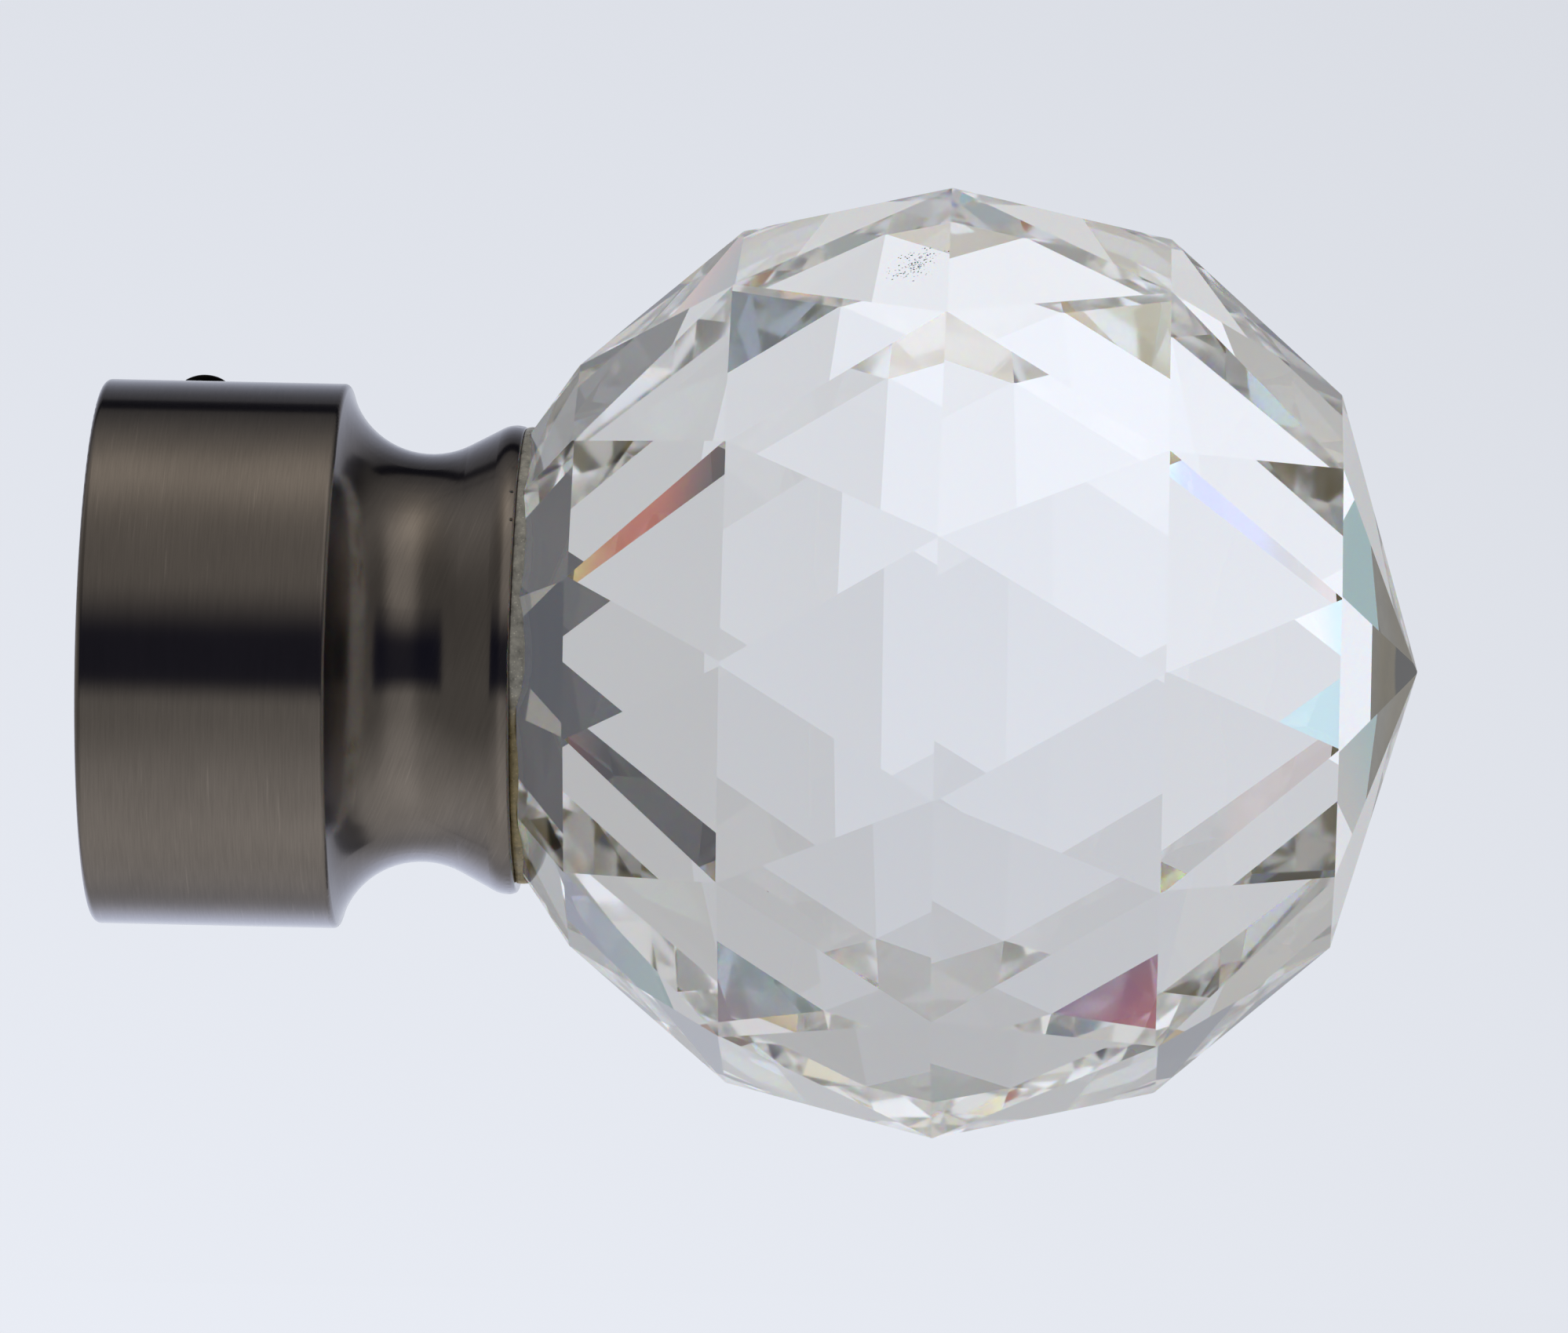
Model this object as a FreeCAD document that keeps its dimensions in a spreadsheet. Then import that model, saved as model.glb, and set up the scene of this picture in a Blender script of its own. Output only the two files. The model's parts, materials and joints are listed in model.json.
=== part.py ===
"""Curtain pole finial: a turned metal ferrule, a cut crystal ball bonded to its lip and a grub screw.

The origin is the centre of the ferrule's mouth, +X runs along the pole's axis towards the ball and +Z is up.
Lengths are in millimetres and angles in degrees.
"""

import FreeCAD
import Part
import Sketcher

import math
import os

SIZES = [
    ("pole_diameter", 28.0, "outside diameter of the curtain pole that goes into the socket"),
    ("socket_clearance", 0.15, "radial room between the pole and the socket"),
    ("socket_depth", 12.0, "depth of the blind socket from the mouth"),
    ("mouth_chamfer", 0.4, "lead-in chamfer on the socket's mouth"),
    ("wall_thickness", 2.0, "collar's wall around the socket"),
    ("collar_length", 14.45, "mouth to the sharp shoulder where the cove starts"),
    ("rim_round", 0.4, "round on the collar's outer rim"),
    ("shoulder_round", 0.35, "round on the shoulder's arris"),
    ("cove_radius", 5.05, "radius of the cove's section"),
    ("cove_depth", 4.05, "how far the neck is cut in below the collar"),
    ("flare_angle", 28.0, "rise of the straight flare from the cove to the lip"),
    ("lip_rise", 1.8, "how far the lip's crest stands above the neck"),
    ("lip_round", 1.65, "radius of the rolled lip's section"),
    ("lip_overhang", 0.6, "lip's crest to the ferrule's end face"),
    ("lip_edge_round", 0.2, "round between the lip and the end face"),
    ("screw_station", 5.1, "mouth to the grub screw's axis"),
    ("screw_tilt", 30.0, "lean of the grub screw's axis from straight up, away from the viewer"),
    ("screw_diameter", 3.0, "grub screw's thread diameter"),
    ("screw_length", 4.0, "grub screw's length"),
    ("tip_chamfer", 0.4, "chamfer on the grub screw's tip"),
    ("head_chamfer", 0.15, "chamfer on the grub screw's outer end"),
    ("cup_radius", 0.75, "radius of the cup in the grub screw's tip"),
    ("cup_depth", 0.4, "depth of the cup in the grub screw's tip"),
    ("thread_clearance", 0.05, "radial room between the screw and its hole"),
    ("tip_gap", 0.25, "socket's wall to the tip of the screw"),
    ("key_width", 1.5, "across the flats of the screw's hexagon socket"),
    ("key_depth", 2.0, "depth of the screw's hexagon socket"),
    ("bond_thickness", 0.42, "thickness of the adhesive between lip and ball"),
    ("bond_setback", 0.25, "corner of the ball's seat to the adhesive's edge"),
    ("ball_offset", 0.44, "how far the ball sits above the ferrule's axis"),
    ("facet_count", 12, "facets around each ring of the ball"),
    ("seat_radius", 13.45, "corner radius of the ball's flat seat"),
    ("heel_height", 2.9, "seat to the heel ring of corners"),
    ("heel_radius", 17.7, "corner radius of the heel ring"),
    ("lower_height", 12.15, "seat to the lower ring of corners"),
    ("lower_radius", 25.25, "corner radius of the lower ring"),
    ("girdle_height", 24.55, "seat to the girdle, the widest ring of corners"),
    ("girdle_radius", 28.8, "corner radius of the girdle"),
    ("upper_height", 37.55, "seat to the upper ring of corners"),
    ("upper_radius", 25.25, "corner radius of the upper ring"),
    ("crown_height", 47.65, "seat to the crown ring of corners"),
    ("crown_radius", 16.8, "corner radius of the crown ring"),
    ("apex_height", 52.55, "seat to the ball's pointed apex"),
]

# A sketch's own axes and origin, by the numbers that the sketcher gives them
ORIGIN = (-1, 1)
ACROSS = -1
UPRIGHT = -2
START = 1
END = 2
CENTRE = 3

# Where two lengths count as the same when an edge is looked up
EDGE_MATCH = 1e-4

# Radii of the ferrule, each worked out from the one inside or beside it
SOCKET_RADIUS = "(sizes.pole_diameter / 2 + sizes.socket_clearance)"
COLLAR_RADIUS = f"({SOCKET_RADIUS} + sizes.wall_thickness)"
NECK_RADIUS = f"({COLLAR_RADIUS} - sizes.cove_depth)"
LIP_RADIUS = f"({NECK_RADIUS} + sizes.lip_rise)"

# Where the ferrule's end face lies, as its profile measures it
END_STATION = "ferrule_profile.Constraints.end_station"


def make_sheet(doc):
    """The driving dimensions, one row each: words, value and alias."""
    sheet = doc.addObject("Spreadsheet::Sheet", "sizes")
    for row, (alias, value, words) in enumerate(SIZES, start=1):
        sheet.set(f"A{row}", words)
        sheet.set(f"B{row}", str(value))
        sheet.setAlias(f"B{row}", alias)
    doc.recompute()
    return sheet


def origin_plane(body, role):
    for feature in body.Origin.OriginFeatures:
        if feature.Role == role:
            return feature
    raise RuntimeError(f"{body.Label} has no {role}")


def new_body(doc, label):
    body = doc.addObject("PartDesign::Body", label)
    body.Label = label
    return body


def new_sketch(body, name, role):
    sketch = body.newObject("Sketcher::SketchObject", name)
    sketch.AttachmentSupport = (origin_plane(body, role), [""])
    sketch.MapMode = "FlatFace"
    return sketch


def drawn_size(sketch, kind, where):
    """What a dimension measures on the outline as drawn."""
    if kind == "Radius":
        return sketch.Geometry[where[0]].Radius
    step = sketch.getPoint(*where[2:]) - sketch.getPoint(*where[:2])
    return step.x if kind == "DistanceX" else step.y


def size_it(sketch, kind, *where, formula):
    """Add a sketch dimension whose value comes from a formula of the sheet's cells."""
    drawn = drawn_size(sketch, kind, where)
    number = sketch.addConstraint(Sketcher.Constraint(kind, *where, drawn))
    sketch.setExpression(f"Constraints[{number}]", formula)


def join(sketch, *ends):
    """Make two ends of sketch lines or arcs the same point."""
    sketch.addConstraint(Sketcher.Constraint("Coincident", *ends))


def line(start, end):
    return Part.LineSegment(FreeCAD.Vector(*start, 0), FreeCAD.Vector(*end, 0))


def arc(centre, radius, first, last):
    """An arc that runs anticlockwise between two angles, given in radians."""
    circle = Part.Circle(FreeCAD.Vector(*centre, 0), FreeCAD.Vector(0, 0, 1), radius)
    return Part.ArcOfCircle(circle, first, last)


def ring_edges(shape, corner):
    """Names of a turned shape's round edges that pass through one corner of its profile."""
    names = []
    for number, edge in enumerate(shape.Edges, start=1):
        curve = edge.Curve
        if not isinstance(curve, Part.Circle):
            continue
        if abs(curve.Center.x - corner.x) < EDGE_MATCH and abs(curve.Radius - corner.y) < EDGE_MATCH:
            names.append(f"Edge{number}")
    if not names:
        raise RuntimeError(f"no round edge at {corner}")
    return names


def ferrule_profile(body, sheet):
    """Half section of the turned ferrule: X runs along the axis and Y is the radius.

    Returns the sketch and the corners that are broken or rounded later, each as a line and its end.
    """
    socket_radius = sheet.pole_diameter / 2 + sheet.socket_clearance
    collar_radius = socket_radius + sheet.wall_thickness
    neck_radius = collar_radius - sheet.cove_depth
    lip_centre_radius = neck_radius + sheet.lip_rise - sheet.lip_round
    cove_centre_radius = neck_radius + sheet.cove_radius
    cove_rise = cove_centre_radius - collar_radius
    cove_station = sheet.collar_length + math.sqrt(sheet.cove_radius**2 - cove_rise**2)

    # The straight flare touches the cove from below and the lip from above
    flare = math.radians(sheet.flare_angle)
    cove_end = (
        cove_station + sheet.cove_radius * math.sin(flare),
        cove_centre_radius - sheet.cove_radius * math.cos(flare),
    )
    flare_top = lip_centre_radius + sheet.lip_round * math.cos(flare)
    lip_start = (cove_end[0] + (flare_top - cove_end[1]) / math.tan(flare), flare_top)
    lip_station = lip_start[0] + sheet.lip_round * math.sin(flare)
    end_station = lip_station + sheet.lip_overhang
    end_radius = lip_centre_radius + math.sqrt(sheet.lip_round**2 - sheet.lip_overhang**2)
    cove_first = math.pi + math.asin(cove_rise / sheet.cove_radius)
    cove_last = 1.5 * math.pi + flare
    lip_first = math.acos(sheet.lip_overhang / sheet.lip_round)
    lip_last = math.pi / 2 + flare

    sketch = new_sketch(body, "ferrule_profile", "XZ_Plane")
    floor = sketch.addGeometry(line((sheet.socket_depth, 0), (sheet.socket_depth, socket_radius)))
    wall = sketch.addGeometry(line((sheet.socket_depth, socket_radius), (0, socket_radius)))
    rim = sketch.addGeometry(line((0, socket_radius), (0, collar_radius)))
    collar = sketch.addGeometry(line((0, collar_radius), (sheet.collar_length, collar_radius)))
    cove = sketch.addGeometry(
        arc((cove_station, cove_centre_radius), sheet.cove_radius, cove_first, cove_last)
    )
    slope = sketch.addGeometry(line(cove_end, lip_start))
    lip = sketch.addGeometry(arc((lip_station, lip_centre_radius), sheet.lip_round, lip_first, lip_last))
    face = sketch.addGeometry(line((end_station, end_radius), (end_station, 0)))
    core = sketch.addGeometry(line((end_station, 0), (sheet.socket_depth, 0)))

    for upright in (floor, rim, face):
        sketch.addConstraint(Sketcher.Constraint("Vertical", upright))
    for level in (wall, collar):
        sketch.addConstraint(Sketcher.Constraint("Horizontal", level))
    join(sketch, floor, END, wall, START)
    join(sketch, wall, END, rim, START)
    join(sketch, rim, END, collar, START)
    join(sketch, collar, END, cove, START)
    sketch.addConstraint(Sketcher.Constraint("Tangent", cove, END, slope, START))
    sketch.addConstraint(Sketcher.Constraint("Tangent", slope, END, lip, END))
    join(sketch, lip, START, face, START)
    join(sketch, face, END, core, START)
    join(sketch, core, END, floor, START)
    sketch.addConstraint(Sketcher.Constraint("PointOnObject", floor, START, ACROSS))
    sketch.addConstraint(Sketcher.Constraint("PointOnObject", face, END, ACROSS))
    sketch.addConstraint(Sketcher.Constraint("PointOnObject", rim, START, UPRIGHT))

    size_it(sketch, "DistanceX", *ORIGIN, floor, START, formula="sizes.socket_depth")
    size_it(sketch, "DistanceY", *ORIGIN, wall, END, formula=SOCKET_RADIUS)
    size_it(sketch, "DistanceY", *ORIGIN, collar, START, formula=COLLAR_RADIUS)
    size_it(sketch, "DistanceX", *ORIGIN, collar, END, formula="sizes.collar_length")
    size_it(sketch, "Radius", cove, formula="sizes.cove_radius")
    size_it(sketch, "DistanceY", *ORIGIN, cove, CENTRE, formula=f"{NECK_RADIUS} + sizes.cove_radius")
    size_it(sketch, "Radius", lip, formula="sizes.lip_round")
    size_it(sketch, "DistanceY", *ORIGIN, lip, CENTRE, formula=f"{LIP_RADIUS} - sizes.lip_round")
    size_it(sketch, "DistanceX", lip, CENTRE, face, END, formula="sizes.lip_overhang")
    number = sketch.addConstraint(Sketcher.Constraint("Angle", slope, flare))
    sketch.setExpression(f"Constraints[{number}]", "sizes.flare_angle * 1 deg")
    number = sketch.addConstraint(Sketcher.Constraint("DistanceX", *ORIGIN, face, END, end_station))
    sketch.renameConstraint(number, "end_station")
    sketch.setDriving(number, False)
    corners = {
        "mouth": (wall, END),
        "rim": (collar, START),
        "shoulder": (collar, END),
        "lip_edge": (face, START),
    }
    return sketch, corners


def make_ferrule(doc, sheet):
    """Turned collar, cove neck and rolled lip, with a tapped hole for the grub screw."""
    body = new_body(doc, "ferrule")
    profile, corners = ferrule_profile(body, sheet)
    turned = body.newObject("PartDesign::Revolution", "ferrule_turned")
    turned.Profile = profile
    turned.ReferenceAxis = (profile, ["H_Axis"])
    turned.Angle = 360.0
    doc.recompute()

    finished = body.newObject("PartDesign::Chamfer", "mouth_lead_in")
    finished.Base = (turned, ring_edges(turned.Shape, profile.getPoint(*corners["mouth"])))
    finished.setExpression("Size", "sizes.mouth_chamfer")
    doc.recompute()
    for place in ("rim", "shoulder", "lip_edge"):
        rounded = body.newObject("PartDesign::Fillet", f"{place}_rounded")
        rounded.Base = (finished, ring_edges(finished.Shape, profile.getPoint(*corners[place])))
        rounded.setExpression("Radius", f"sizes.{place}_round")
        doc.recompute()
        finished = rounded

    hole_sketch = new_sketch(body, "screw_hole_outline", "XY_Plane")
    hole_sketch.AttachmentOffset = FreeCAD.Placement(
        FreeCAD.Vector(sheet.screw_station, 0, 0),
        FreeCAD.Rotation(FreeCAD.Vector(-1, 0, 0), sheet.screw_tilt),
    )
    hole_sketch.setExpression("AttachmentOffset.Base.x", "sizes.screw_station")
    hole_sketch.setExpression("AttachmentOffset.Rotation.Angle", "sizes.screw_tilt")
    outline = Part.Circle(FreeCAD.Vector(0, 0, 0), FreeCAD.Vector(0, 0, 1), sheet.screw_diameter / 2)
    circle = hole_sketch.addGeometry(outline)
    join(hole_sketch, circle, CENTRE, *ORIGIN)
    size_it(hole_sketch, "Radius", circle, formula="sizes.screw_diameter / 2 + sizes.thread_clearance")

    # The outline lies on the axis, inside the socket, so the cut runs outwards through one side of the wall
    hole = body.newObject("PartDesign::Pocket", "screw_hole")
    hole.Profile = hole_sketch
    hole.Type = "ThroughAll"
    hole.Reversed = True
    doc.recompute()
    if hole.Shape.Volume >= finished.Shape.Volume:
        raise RuntimeError("the screw hole cuts nothing")
    return body


def make_grub_screw(doc, sheet):
    """Set screw with a cup point and a hexagon socket, turned about its own Z and leant into its hole."""
    body = new_body(doc, "grub_screw")
    radius = sheet.screw_diameter / 2
    profile = new_sketch(body, "screw_profile", "XZ_Plane")
    corners = [
        (0, sheet.cup_depth),
        (sheet.cup_radius, 0),
        (radius - sheet.tip_chamfer, 0),
        (radius, sheet.tip_chamfer),
        (radius, sheet.screw_length - sheet.head_chamfer),
        (radius - sheet.head_chamfer, sheet.screw_length),
        (0, sheet.screw_length),
    ]
    sides = [profile.addGeometry(line(a, b)) for a, b in zip(corners, corners[1:] + corners[:1])]
    for side, following in zip(sides, sides[1:] + sides[:1]):
        join(profile, side, END, following, START)
    cup, tip, tip_edge, flank, head_edge, head, axis = sides
    for level in (tip, head):
        profile.addConstraint(Sketcher.Constraint("Horizontal", level))
    for upright in (flank, axis):
        profile.addConstraint(Sketcher.Constraint("Vertical", upright))
    profile.addConstraint(Sketcher.Constraint("PointOnObject", cup, START, UPRIGHT))
    profile.addConstraint(Sketcher.Constraint("PointOnObject", tip, START, ACROSS))
    size_it(profile, "DistanceY", *ORIGIN, cup, START, formula="sizes.cup_depth")
    size_it(profile, "DistanceX", *ORIGIN, tip, START, formula="sizes.cup_radius")
    size_it(profile, "DistanceX", *ORIGIN, flank, START, formula="sizes.screw_diameter / 2")
    size_it(profile, "DistanceX", tip_edge, START, tip_edge, END, formula="sizes.tip_chamfer")
    size_it(profile, "DistanceY", tip_edge, START, tip_edge, END, formula="sizes.tip_chamfer")
    size_it(profile, "DistanceX", head_edge, END, head_edge, START, formula="sizes.head_chamfer")
    size_it(profile, "DistanceY", head_edge, START, head_edge, END, formula="sizes.head_chamfer")
    size_it(profile, "DistanceY", *ORIGIN, head, END, formula="sizes.screw_length")

    turned = body.newObject("PartDesign::Revolution", "screw_turned")
    turned.Profile = profile
    turned.ReferenceAxis = (profile, ["V_Axis"])
    turned.Angle = 360.0
    doc.recompute()

    key_outline = new_sketch(body, "key_outline", "XY_Plane")
    key_outline.AttachmentOffset = FreeCAD.Placement(
        FreeCAD.Vector(0, 0, sheet.screw_length), FreeCAD.Rotation()
    )
    key_outline.setExpression("AttachmentOffset.Base.z", "sizes.screw_length")
    corner_radius = sheet.key_width / math.sqrt(3)
    angles = [math.radians(60 * number) for number in range(6)]
    corners = [(corner_radius * math.cos(angle), corner_radius * math.sin(angle)) for angle in angles]
    sides = [key_outline.addGeometry(line(a, b)) for a, b in zip(corners, corners[1:] + corners[:1])]
    guide = key_outline.addGeometry(
        Part.Circle(FreeCAD.Vector(0, 0, 0), FreeCAD.Vector(0, 0, 1), corner_radius), True
    )
    join(key_outline, guide, CENTRE, *ORIGIN)
    for side, following in zip(sides, sides[1:] + sides[:1]):
        join(key_outline, side, END, following, START)
        key_outline.addConstraint(Sketcher.Constraint("PointOnObject", side, START, guide))
    for side in sides[1:]:
        key_outline.addConstraint(Sketcher.Constraint("Equal", sides[0], side))
    key_outline.addConstraint(Sketcher.Constraint("PointOnObject", sides[0], START, ACROSS))
    size_it(key_outline, "Radius", guide, formula="sizes.key_width / sqrt(3)")

    key = body.newObject("PartDesign::Pocket", "key_socket")
    key.Profile = key_outline
    key.setExpression("Length", "sizes.key_depth")
    doc.recompute()
    if key.Shape.Volume >= turned.Shape.Volume:
        raise RuntimeError("the hexagon socket cuts nothing")

    body.Placement = FreeCAD.Placement(
        FreeCAD.Vector(sheet.screw_station, 0, 0),
        FreeCAD.Rotation(FreeCAD.Vector(-1, 0, 0), sheet.screw_tilt),
    )
    tip_radius = f"({SOCKET_RADIUS} + sizes.tip_gap)"
    body.setExpression("Placement.Base.x", "sizes.screw_station")
    body.setExpression("Placement.Base.y", f"{tip_radius} * sin(sizes.screw_tilt * 1 deg)")
    body.setExpression("Placement.Base.z", f"{tip_radius} * cos(sizes.screw_tilt * 1 deg)")
    body.setExpression("Placement.Rotation.Angle", "sizes.screw_tilt")
    return body


def make_bond(doc, sheet):
    """Disc of adhesive on the ferrule's end face, centred on the ball's seat."""
    body = new_body(doc, "adhesive_bond")
    outline = new_sketch(body, "bond_outline", "YZ_Plane")
    radius = sheet.seat_radius - sheet.bond_setback
    edge = outline.addGeometry(Part.Circle(FreeCAD.Vector(0, 0, 0), FreeCAD.Vector(0, 0, 1), radius))
    join(outline, edge, CENTRE, *ORIGIN)
    size_it(outline, "Radius", edge, formula="sizes.seat_radius - sizes.bond_setback")
    layer = body.newObject("PartDesign::Pad", "bond_layer")
    layer.Profile = outline
    layer.setExpression("Length", "sizes.bond_thickness")
    body.setExpression("Placement.Base.x", END_STATION)
    body.setExpression("Placement.Base.z", "sizes.ball_offset")
    return body


def ball_rings(sheet):
    """Rings of corners from the seat to the crown, and the apex.

    Every second ring is turned by half a facet, so the bands between them are zigzags of triangles.
    """
    count = int(sheet.facet_count)
    rows = (
        (0.0, sheet.seat_radius, 0.5),
        (sheet.heel_height, sheet.heel_radius, 0.5),
        (sheet.lower_height, sheet.lower_radius, 0.0),
        (sheet.girdle_height, sheet.girdle_radius, 0.5),
        (sheet.upper_height, sheet.upper_radius, 0.0),
        (sheet.crown_height, sheet.crown_radius, 0.5),
    )
    rings = []
    for height, radius, turn in rows:
        angles = [2 * math.pi * (number + turn) / count for number in range(count)]
        rings.append(
            [FreeCAD.Vector(height, radius * math.sin(a), radius * math.cos(a)) for a in angles]
        )
    turns = [turn for _, _, turn in rows]
    return rings, turns, FreeCAD.Vector(sheet.apex_height, 0, 0)


def facet(*corners):
    return Part.Face(Part.makePolygon([*corners, corners[0]]))


def band_facets(near, far, near_turn, far_turn):
    """Facets between two rings: trapezia where the corners line up, else pairs of triangles."""
    count = len(near)
    facets = []
    for number in range(count):
        after = (number + 1) % count
        if near_turn == far_turn:
            facets.append(facet(near[number], near[after], far[after], far[number]))
        elif near_turn > far_turn:
            facets.append(facet(near[number], near[after], far[after]))
            facets.append(facet(far[number], far[after], near[number]))
        else:
            facets.append(facet(near[number], near[after], far[number]))
            facets.append(facet(far[number], far[after], near[after]))
    return facets


def make_ball(doc, sheet):
    """Cut crystal ball: flat seat, rings of flat facets and a pointed apex."""
    rings, turns, apex = ball_rings(sheet)
    facets = [facet(*rings[0])]
    for near, far, near_turn, far_turn in zip(rings, rings[1:], turns, turns[1:]):
        facets += band_facets(near, far, near_turn, far_turn)
    crown = rings[-1]
    for corner, following in zip(crown, crown[1:] + crown[:1]):
        facets.append(facet(corner, following, apex))
    solid = Part.Solid(Part.Shell(facets))
    if solid.Volume < 0:
        solid.reverse()

    ball = doc.addObject("Part::Feature", "crystal_ball")
    ball.Label = "crystal_ball"
    ball.Shape = solid
    ball.setExpression("Placement.Base.x", f"{END_STATION} + sizes.bond_thickness * 1 mm")
    ball.setExpression("Placement.Base.z", "sizes.ball_offset")
    return ball


def check(doc, parts):
    """Stop if anything failed to build or a piece isn't one sound solid."""
    for item in doc.Objects:
        if "Invalid" in item.State or "Error" in item.State:
            raise RuntimeError(f"{item.Label} failed: {item.State}")
    for part in parts:
        shape = part.Shape
        if shape.isNull() or not shape.isValid() or len(shape.Solids) != 1:
            raise RuntimeError(f"{part.Label} isn't one valid solid")


def main():
    doc = FreeCAD.newDocument("curtain_pole_finial")
    sheet = make_sheet(doc)
    parts = [
        make_ferrule(doc, sheet),
        make_grub_screw(doc, sheet),
        make_bond(doc, sheet),
        make_ball(doc, sheet),
    ]
    doc.recompute()
    check(doc, parts)
    os.makedirs("parts", exist_ok=True)
    for part in parts:
        part.Shape.exportStep(f"parts/{part.Label}.step")


main()
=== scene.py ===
import json
import math
import random
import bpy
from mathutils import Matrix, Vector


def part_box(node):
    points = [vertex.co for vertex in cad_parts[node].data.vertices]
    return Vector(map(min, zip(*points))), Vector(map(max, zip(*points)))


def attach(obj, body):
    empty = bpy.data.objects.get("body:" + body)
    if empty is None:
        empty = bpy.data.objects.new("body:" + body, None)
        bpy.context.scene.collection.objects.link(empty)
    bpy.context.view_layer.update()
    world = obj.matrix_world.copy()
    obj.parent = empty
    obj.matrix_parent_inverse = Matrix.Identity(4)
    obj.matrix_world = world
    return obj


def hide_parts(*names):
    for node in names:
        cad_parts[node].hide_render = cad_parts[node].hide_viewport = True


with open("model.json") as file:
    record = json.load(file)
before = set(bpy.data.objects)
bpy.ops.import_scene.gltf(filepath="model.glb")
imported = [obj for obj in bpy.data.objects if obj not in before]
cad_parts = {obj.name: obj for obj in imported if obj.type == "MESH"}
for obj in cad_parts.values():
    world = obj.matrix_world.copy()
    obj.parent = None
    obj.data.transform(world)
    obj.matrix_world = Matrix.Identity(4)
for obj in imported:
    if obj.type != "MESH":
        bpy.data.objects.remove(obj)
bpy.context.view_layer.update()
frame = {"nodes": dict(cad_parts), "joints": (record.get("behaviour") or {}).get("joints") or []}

from types import SimpleNamespace

import bmesh
import bpy
from mathutils import Matrix, Vector, noise

bl_info = {
    "name": "Curtain Pole Finial",
    "version": (1, 0, 0),
    "blender": (4, 5, 0),
    "location": "View3D > Sidebar > Finial",
    "description": "Dresses a curtain pole finial: brushed ferrule, cut ball, adhesive and grub screw",
    "category": "Object",
}

MM = 0.001

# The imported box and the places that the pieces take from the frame
BALL_LOW, BALL_HIGH = (Vector(corner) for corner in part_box("crystal_ball"))
BALL_MIDDLE = (BALL_LOW + BALL_HIGH) / 2
LIP_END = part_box("ferrule")[1][0]
SEAT_END = BALL_LOW.x
SCREW_LOW, SCREW_HIGH = (Vector(corner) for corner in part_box("grub_screw"))
SCREW_ROOT = Vector(((SCREW_LOW.x + SCREW_HIGH.x) / 2, 0, 0))
SCREW_RADIUS = (SCREW_HIGH.x - SCREW_LOW.x) / 2
SCREW_OUT = -Vector(next(joint["axis"] for joint in frame["joints"] if joint["name"] == "grub_screw_travel"))
SCREW_SIDE = SCREW_OUT.cross((1, 0, 0))


class FerruleFinish(bpy.types.PropertyGroup):
    colour: bpy.props.FloatVectorProperty(
        name="Colour", description="Black nickel's own colour", subtype="COLOR", size=3,
        default=(0.23, 0.2, 0.178), min=0.0, max=1.0,
    )
    collar_roughness: bpy.props.FloatProperty(
        name="Collar Roughness", description="Roughness of the collar", default=0.2, min=0.0, max=1.0,
    )
    collar_grain: bpy.props.FloatProperty(
        name="Collar Grain", description="How far brushing stretches highlights along the collar",
        default=0.94, min=0.0, max=1.0,
    )
    neck_roughness: bpy.props.FloatProperty(
        name="Neck Roughness", description="Roughness of the neck", default=0.15, min=0.0, max=1.0,
    )
    neck_grain: bpy.props.FloatProperty(
        name="Neck Grain", description="How far brushing stretches highlights along the neck",
        default=0.57, min=0.0, max=1.0,
    )
    stroke_width: bpy.props.FloatProperty(
        name="Stroke Width", description="Width of one brush stroke", unit="LENGTH", default=0.11 * MM,
    )
    stroke_length: bpy.props.FloatProperty(
        name="Stroke Length", description="Length of one brush stroke", unit="LENGTH", default=2.5 * MM,
    )
    collar_slant: bpy.props.FloatProperty(
        name="Collar Slant", description="Lean of the strokes on the collar", subtype="ANGLE",
        default=math.radians(-1),
    )
    neck_slant: bpy.props.FloatProperty(
        name="Neck Slant", description="Lean of the strokes on the neck", subtype="ANGLE",
        default=math.radians(-17),
    )
    neck_start: bpy.props.FloatProperty(
        name="Neck Start", description="Where the collar ends and the neck starts", unit="LENGTH",
        default=14.45 * MM,
    )
    lacquer: bpy.props.FloatProperty(
        name="Lacquer", description="Strength of the clear lacquer", default=0.3, min=0.0, max=1.0,
    )
    lacquer_roughness: bpy.props.FloatProperty(
        name="Lacquer Roughness", description="Roughness of the clear lacquer", default=0.12,
        min=0.0, max=1.0,
    )
    edge_tint: bpy.props.FloatVectorProperty(
        name="Edge Tint", description="Tint of the metal where it is seen at a slant", subtype="COLOR",
        size=3, default=(0.8, 0.84, 0.98), min=0.0, max=1.0,
    )
    nick_size: bpy.props.FloatProperty(
        name="Nick Size", description="Width of the nicks in the lip", unit="LENGTH", default=0.3 * MM,
    )


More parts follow.
